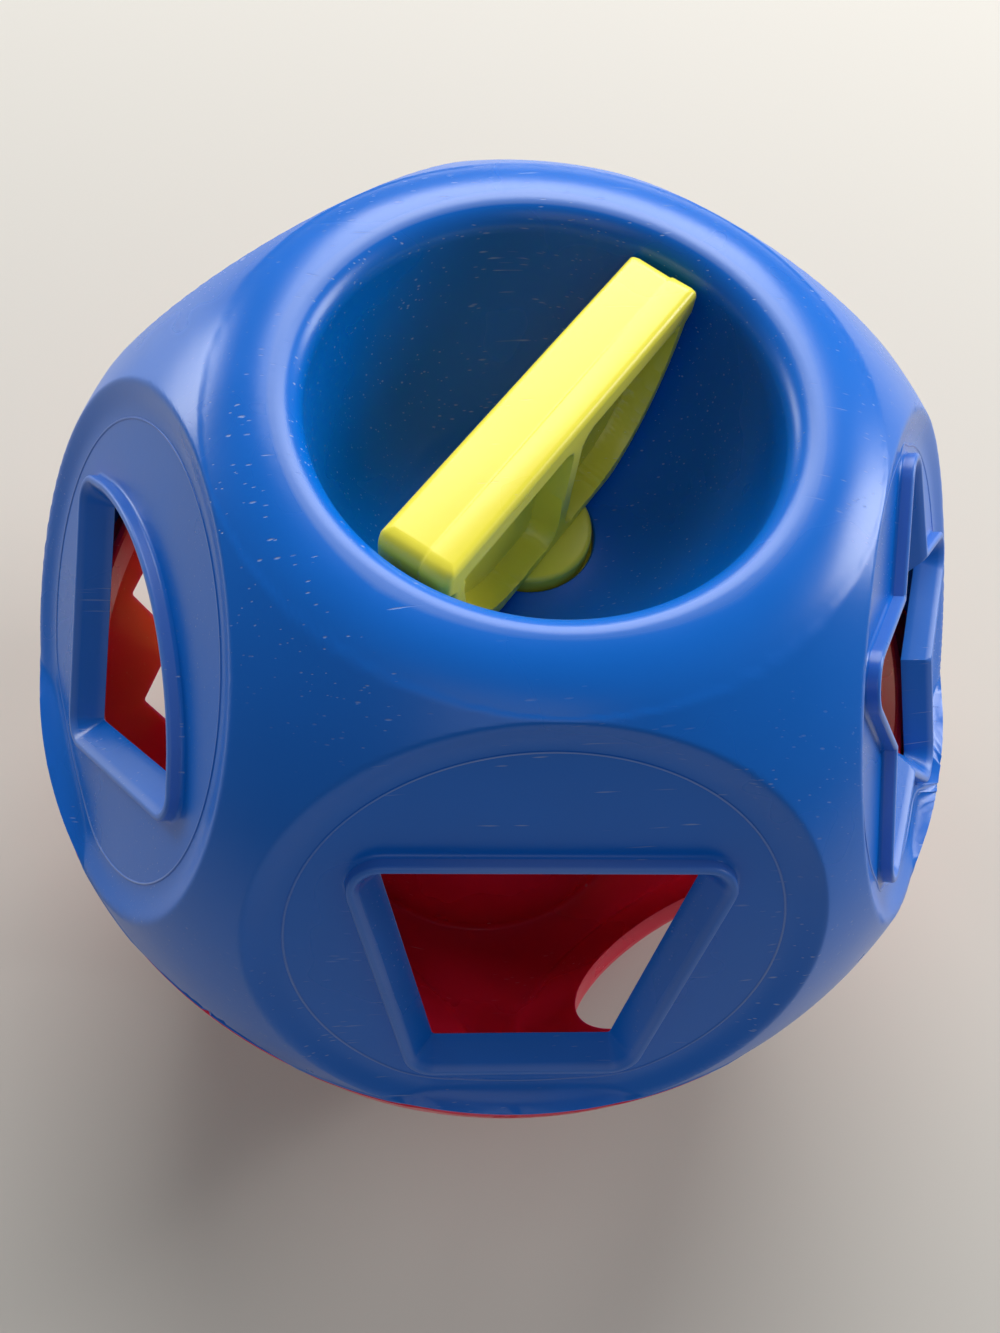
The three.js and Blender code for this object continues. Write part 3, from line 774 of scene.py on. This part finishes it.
def polyethylene(name, colour, worn, seed, glow):
    """Injection-moulded polyethylene: glossy and a little waxy, with light showing softly
    through it. Handling leaves pale hairline scratches, nicks and flecks."""
    material = bpy.data.materials.new(name)
    material.use_nodes = True
    tree = material.node_tree
    tree.nodes.clear()
    base = linear(colour)
    coords = add(tree, "ShaderNodeTexCoord").outputs["Object"]
    offset = add(tree, "ShaderNodeMapping", {"Vector": coords, "Location": (seed, 2 * seed, 3 * seed)})
    place = offset.outputs["Vector"]

    # Cloudy change of tone over about 40 mm, from uneven cooling and handling.
    cloud = add(tree, "ShaderNodeTexNoise", {"Vector": place, "Scale": 25.0, "Detail": 3.0})
    tone = add(tree, "ShaderNodeMapRange", {
        "Value": cloud.outputs["Fac"], "From Min": 0.3, "From Max": 0.7, "To Min": 0.93, "To Max": 1.05})
    toned = add(tree, "ShaderNodeMix", {
        "Factor": 1.0, "A": base, "B": tone.outputs["Result"]}, data_type="RGBA", blend_type="MULTIPLY")
    # RGBA sockets of a Mix node sit behind its float and vector ones.
    tree.links.new(tone.outputs["Result"], toned.inputs[7])
    toned.inputs[6].default_value = base

    # Scratches: thin cells, 60 times as long as wide, bent by a slow noise. Three directions.
    bend = add(tree, "ShaderNodeTexNoise", {"Vector": place, "Scale": 14.0, "Detail": 1.0})
    bent = add(tree, "ShaderNodeVectorMath", {
        0: bend.outputs["Color"], 1: (0.02, 0.02, 0.02), 2: place}, operation="MULTIPLY_ADD")
    marks = None
    for turn, cell in (((0.3, 0.2, 0.5), 36.0), ((1.2, 0.7, 2.1), 50.0), ((2.3, 1.9, 0.9), 70.0)):
        stretched = add(tree, "ShaderNodeMapping", {
            "Vector": bent.outputs["Vector"], "Rotation": turn, "Scale": (1.0, 60.0, 60.0)})
        cells = add(tree, "ShaderNodeTexVoronoi", {
            "Vector": stretched.outputs["Vector"], "Scale": cell, "Randomness": 1.0})
        thin = add(tree, "ShaderNodeMapRange", {
            "Value": cells.outputs["Distance"],
            "From Min": 0.15, "From Max": 0.40, "To Min": 1.0, "To Max": 0.0})
        pick = add(tree, "ShaderNodeSeparateColor", {"Color": cells.outputs["Color"]})
        chance = add(tree, "ShaderNodeMath", {
            0: pick.outputs["Red"], 1: 1 - 0.02 * worn}, operation="GREATER_THAN")
        line = add(tree, "ShaderNodeMath", {
            0: thin.outputs["Result"], 1: chance.outputs["Value"]}, operation="MULTIPLY")
        value = line.outputs["Value"]
        if marks is not None:
            value = add(tree, "ShaderNodeMath", {0: marks, 1: value}, operation="MAXIMUM").outputs["Value"]
        marks = value
    patch = add(tree, "ShaderNodeTexNoise", {"Vector": place, "Scale": 18.0, "Detail": 2.0})
    worn_here = add(tree, "ShaderNodeMapRange", {
        "Value": patch.outputs["Fac"], "From Min": 0.42, "From Max": 0.58, "To Min": 0.0, "To Max": 1.0})
    marks = add(tree, "ShaderNodeMath", {
        0: marks, 1: worn_here.outputs["Result"]}, operation="MULTIPLY").outputs["Value"]

    # Flecks: pale nicks under a millimetre across, in at most 6% of the cells of 8 mm.
    flecks = add(tree, "ShaderNodeTexVoronoi", {"Vector": place, "Scale": 125.0})
    dot = add(tree, "ShaderNodeMapRange", {
        "Value": flecks.outputs["Distance"],
        "From Min": 0.03, "From Max": 0.08, "To Min": 1.0, "To Max": 0.0})
    which = add(tree, "ShaderNodeSeparateColor", {"Color": flecks.outputs["Color"]})
    some = add(tree, "ShaderNodeMath", {
        0: which.outputs["Red"], 1: 1 - 0.06 * worn}, operation="GREATER_THAN")
    dots = add(tree, "ShaderNodeMath", {
        0: dot.outputs["Result"], 1: some.outputs["Value"]}, operation="MULTIPLY")
    pale = add(tree, "ShaderNodeMath", {0: marks, 1: dots.outputs["Value"]}, operation="MAXIMUM")
    # Edges and moulding lines are painted paler, unevenly: partly rubbing wear, partly a painted highlight
    # where the crests and the moulding line catch light.
    edges = add(tree, "ShaderNodeAttribute", attribute_name="edge_wear_and_sheen")
    uneven_share = add(tree, "ShaderNodeMapRange", {
        "Value": patch.outputs["Fac"], "From Min": 0.35, "From Max": 0.65, "To Min": 0.25, "To Max": 1.0})
    rubbed_and_highlighted = add(tree, "ShaderNodeMath", {
        0: edges.outputs["Fac"], 1: uneven_share.outputs["Result"]}, operation="MULTIPLY")
    worn_or_highlighted = add(tree, "ShaderNodeMath", {
        0: pale.outputs["Value"], 1: rubbed_and_highlighted.outputs["Value"]}, operation="MAXIMUM")
    strength = add(tree, "ShaderNodeMath", {0: worn_or_highlighted.outputs["Value"], 1: 0.7}, operation="MULTIPLY")
    light = tuple(0.35 + 0.5 * c for c in base[:3]) + (1.0,)
    coloured = add(tree, "ShaderNodeMix", {"Factor": strength.outputs["Value"]}, data_type="RGBA")
    tree.links.new(toned.outputs[2], coloured.inputs[6])
    coloured.inputs[7].default_value = light

    rough = add(tree, "ShaderNodeMapRange", {
        "Value": cloud.outputs["Fac"], "From Min": 0.3, "From Max": 0.7, "To Min": 0.24, "To Max": 0.33})
    rougher = add(tree, "ShaderNodeMath", {
        0: strength.outputs["Value"], 1: 0.4, 2: rough.outputs["Result"]}, operation="MULTIPLY_ADD")
    # Moulded skin: a faint unevenness about 1.5 mm across.
    skin = add(tree, "ShaderNodeTexNoise", {"Vector": place, "Scale": 650.0, "Detail": 2.0})
    skin_bump = add(tree, "ShaderNodeBump", {
        "Strength": 0.05, "Distance": 0.0002, "Height": skin.outputs["Fac"]})
    nick_bump = add(tree, "ShaderNodeBump", {
        "Strength": 0.35, "Distance": 0.0001, "Height": pale.outputs["Value"],
        "Normal": skin_bump.outputs["Normal"]}, invert=True)
    shader = add(tree, "ShaderNodeBsdfPrincipled", {
        "Base Color": coloured.outputs[2], "Roughness": rougher.outputs["Value"],
        "Normal": nick_bump.outputs["Normal"], "IOR": 1.5, "Specular IOR Level": 0.42,
        "Subsurface Weight": glow, "Subsurface Radius": (1.0, 1.0, 1.0), "Subsurface Scale": 0.003})
    add(tree, "ShaderNodeOutputMaterial", {"Surface": shader.outputs["BSDF"]})
    return material


def stage_paper(name, colour):
    """Matt card: no gloss."""
    material = bpy.data.materials.new(name)
    material.use_nodes = True
    tree = material.node_tree
    tree.nodes.clear()
    shader = add(tree, "ShaderNodeBsdfPrincipled", {"Base Color": linear(colour), "Roughness": 0.85})
    add(tree, "ShaderNodeOutputMaterial", {"Surface": shader.outputs["BSDF"]})
    return material


def finished(obj, material, body):
    """Gives a piece its material and the body it rides on."""
    obj.data.materials.clear()
    obj.data.materials.append(material)
    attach(obj, body)
    return obj


def shared_material(key):
    """The plastic of one colour, made once."""
    finish = bpy.context.scene.sorter_finish
    name = f"{key}_moulded_polyethylene"
    found = bpy.data.materials.get(name)
    worn, glow = {"blue": (1.0, 0.05), "red": (0.5, 0.3), "yellow": (0.2, 0.15)}[key]
    return found or polyethylene(name, getattr(finish, key), worn, finish.seed * 0.37, glow)


# ---------------------------------------------------------------- operators


class SORTER_OT_blue_half(bpy.types.Operator):
    """Make the blue upper half"""
    bl_idname = "sorter.blue_half"
    bl_label = "Blue half"

    def execute(self, context):
        sizes = context.scene.sorter_ball
        shell = half_shell("blue_shell", sizes, -math.pi / 2, UPPER_WINDOWS, False)
        finished(shell, shared_material("blue"), "blue_half")
        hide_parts("blue_half")
        return {"FINISHED"}


class SORTER_OT_red_half(bpy.types.Operator):
    """Make the red lower half with its tongue"""
    bl_idname = "sorter.red_half"
    bl_label = "Red half"

    def execute(self, context):
        sizes = context.scene.sorter_ball
        first = -math.pi / 2 + FIFTH / 2
        shell = half_shell("red_shell", sizes, first, LOWER_WINDOWS, True)
        finished(shell, shared_material("red"), "red_half")
        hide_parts("red_half")
        finished(spigot(sizes), shared_material("red"), "red_half")
        return {"FINISHED"}


class SORTER_OT_handles(bpy.types.Operator):
    """Make both handles"""
    bl_idname = "sorter.handles"
    bl_label = "Handles"

    def execute(self, context):
        sizes = context.scene.sorter_handle
        ball = context.scene.sorter_ball
        for side, turned_over in (("upper", False), ("lower", True)):
            matrix = handle_matrix(sizes.bearing, turned_over)
            points, faces = grip_body(sizes, ball)
            grip = build_mesh(f"{side}_grip", points, faces.tolist(), weld=0.01 * MM)
            boss_points, boss_faces = joined([lathe(boss_profile(sizes, ball), 96)])
            boss = build_mesh(f"{side}_boss", boss_points, boss_faces[:, ::-1].tolist(), weld=0.03 * MM)
            blade_points, blade_faces = joined(blade_parts(ball))
            blade = build_mesh(f"{side}_blade", blade_points, blade_faces.tolist(), weld=0.03 * MM)
            for piece in (grip, boss, blade):
                finished(placed(piece, matrix), shared_material("yellow"), f"{side}_handle")
            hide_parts(f"{side}_handle")
        return {"FINISHED"}


BLOCK_TURNS = {
    "circle": 0, "oval": 90, "hexagon": 0, "square": 0, "trapezoid": 18, "pentagon": 18,
    "triangle": 0, "cross": 18, "quarter": -18, "star": 0,
}


class SORTER_OT_blocks(bpy.types.Operator):
    """Make the ten loose blocks"""
    bl_idname = "sorter.blocks"
    bl_label = "Blocks"

    def execute(self, context):
        for name, outline in {**UPPER_WINDOWS, **LOWER_WINDOWS}.items():
            node = f"{name}_block"
            low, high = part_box(node)
            turn = math.radians(BLOCK_TURNS[name])
            c, s = math.cos(turn), math.sin(turn)
            flat = outline * MM @ np.array([(c, s), (-s, c)])
            middle = (flat.min(0) + flat.max(0)) / 2
            centre = (np.array(low[:2]) + np.array(high[:2])) / 2 - middle
            block = block_mesh(f"{name}_piece", outline, low[2], high[2], centre, turn)
            finished(block, shared_material("yellow"), node)
            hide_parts(node)
        return {"FINISHED"}


class SORTER_OT_stage(bpy.types.Operator):
    """Make the floor, the lights and the camera"""
    bl_idname = "sorter.stage"
    bl_label = "Stage"

    def execute(self, context):
        scene = context.scene
        half = 3.0
        corners = [(-half, -half, 0), (half, -half, 0), (half, half, 0), (-half, half, 0)]
        floor = build_mesh("floor", corners, [(0, 1, 2, 3)])
        floor.data.materials.append(stage_paper("pale_card", scene.sorter_finish.paper))

        scene.view_settings.view_transform = "Standard"
        world = bpy.data.worlds.new("soft_room")
        world.use_nodes = True
        world.node_tree.nodes["Background"].inputs["Color"].default_value = (0.85, 0.92, 1.0, 1.0)
        world.node_tree.nodes["Background"].inputs["Strength"].default_value = 0.2
        scene.world = world

        # A broad window high behind, a small one low on the left, one on the right, and a weak fill.
        for name, place, size, power in (
            ("window_light", (0.12, 0.95, 0.85), (1.0, 0.8), 17.0),
            ("left_window", (-0.75, 0.62, 0.30), (0.35, 0.35), 3.0),
            ("side_light", (1.0, 0.30, 0.55), (0.4, 0.5), 7.0),
            ("front_fill", (-0.1, -0.9, 1.2), (0.8, 0.8), 1.6),
        ):
            light = bpy.data.lights.new(name, "AREA")
            light.shape = "RECTANGLE"
            light.size, light.size_y = size
            light.energy = power
            lamp = bpy.data.objects.new(name, light)
            lamp.location = place
            lamp.rotation_euler = (CENTRE - Vector(place)).to_track_quat("-Z", "Y").to_euler()
            scene.collection.objects.link(lamp)

        # The viewpoint: bearing round the ball, height over it, and a small tilt and turn off it.
        distance = 0.2385
        elevation, bearing = math.radians(61.7), math.radians(-101.0)
        pitch, yaw, roll = math.radians(-1.15), math.radians(-0.03), math.radians(-10.83)
        flat = distance * math.cos(elevation)
        above = distance * math.sin(elevation)
        place = CENTRE + Vector((flat * math.cos(bearing), flat * math.sin(bearing), above))
        forward = (CENTRE - place).normalized()
        right = Vector((-math.sin(bearing), math.cos(bearing), 0.0))
        up = right.cross(forward)
        turn = Matrix.Rotation(yaw, 3, up)
        forward, right = turn @ forward, turn @ right
        turn = Matrix.Rotation(pitch, 3, right)
        forward, up = turn @ forward, turn @ up
        turn = Matrix.Rotation(roll, 3, forward)
        right, up = turn @ right, turn @ up
        data = bpy.data.cameras.new("camera")
        data.sensor_width = 36.0
        data.lens = 32.4
        data.clip_start = 0.01
        camera = bpy.data.objects.new("camera", data)
        basis = Matrix((right, up, -forward)).transposed().to_4x4()
        camera.matrix_world = Matrix.Translation(place) @ basis
        scene.collection.objects.link(camera)
        scene.camera = camera
        return {"FINISHED"}


class SORTER_PT_panel(bpy.types.Panel):
    """Lists the pieces of the shape sorter"""
    bl_idname = "SORTER_PT_panel"
    bl_label = "Shape sorter"
    bl_space_type = "VIEW_3D"
    bl_region_type = "UI"
    bl_category = "Shape sorter"

    def draw(self, context):
        layout = self.layout
        for group in (context.scene.sorter_ball, context.scene.sorter_handle, context.scene.sorter_finish):
            for key in group.bl_rna.properties.keys():
                if key not in {"rna_type", "name"}:
                    layout.prop(group, key)
        for operator in OPERATORS:
            layout.operator(operator.bl_idname)


OPERATORS = (
    SORTER_OT_stage,
    SORTER_OT_blue_half,
    SORTER_OT_red_half,
    SORTER_OT_handles,
    SORTER_OT_blocks,
)
CLASSES = (SorterBallSizes, SorterHandleSizes, SorterFinish) + OPERATORS + (SORTER_PT_panel,)


def register():
    for cls in CLASSES:
        bpy.utils.register_class(cls)
    bpy.types.Scene.sorter_ball = PointerProperty(type=SorterBallSizes)
    bpy.types.Scene.sorter_handle = PointerProperty(type=SorterHandleSizes)
    bpy.types.Scene.sorter_finish = PointerProperty(type=SorterFinish)


def unregister():
    del bpy.types.Scene.sorter_finish
    del bpy.types.Scene.sorter_handle
    del bpy.types.Scene.sorter_ball
    for cls in reversed(CLASSES):
        bpy.utils.unregister_class(cls)


def main():
    register()
    for operator in OPERATORS:
        group, action = operator.bl_idname.split(".")
        getattr(getattr(bpy.ops, group), action)()


if __name__ == "__main__":
    main()
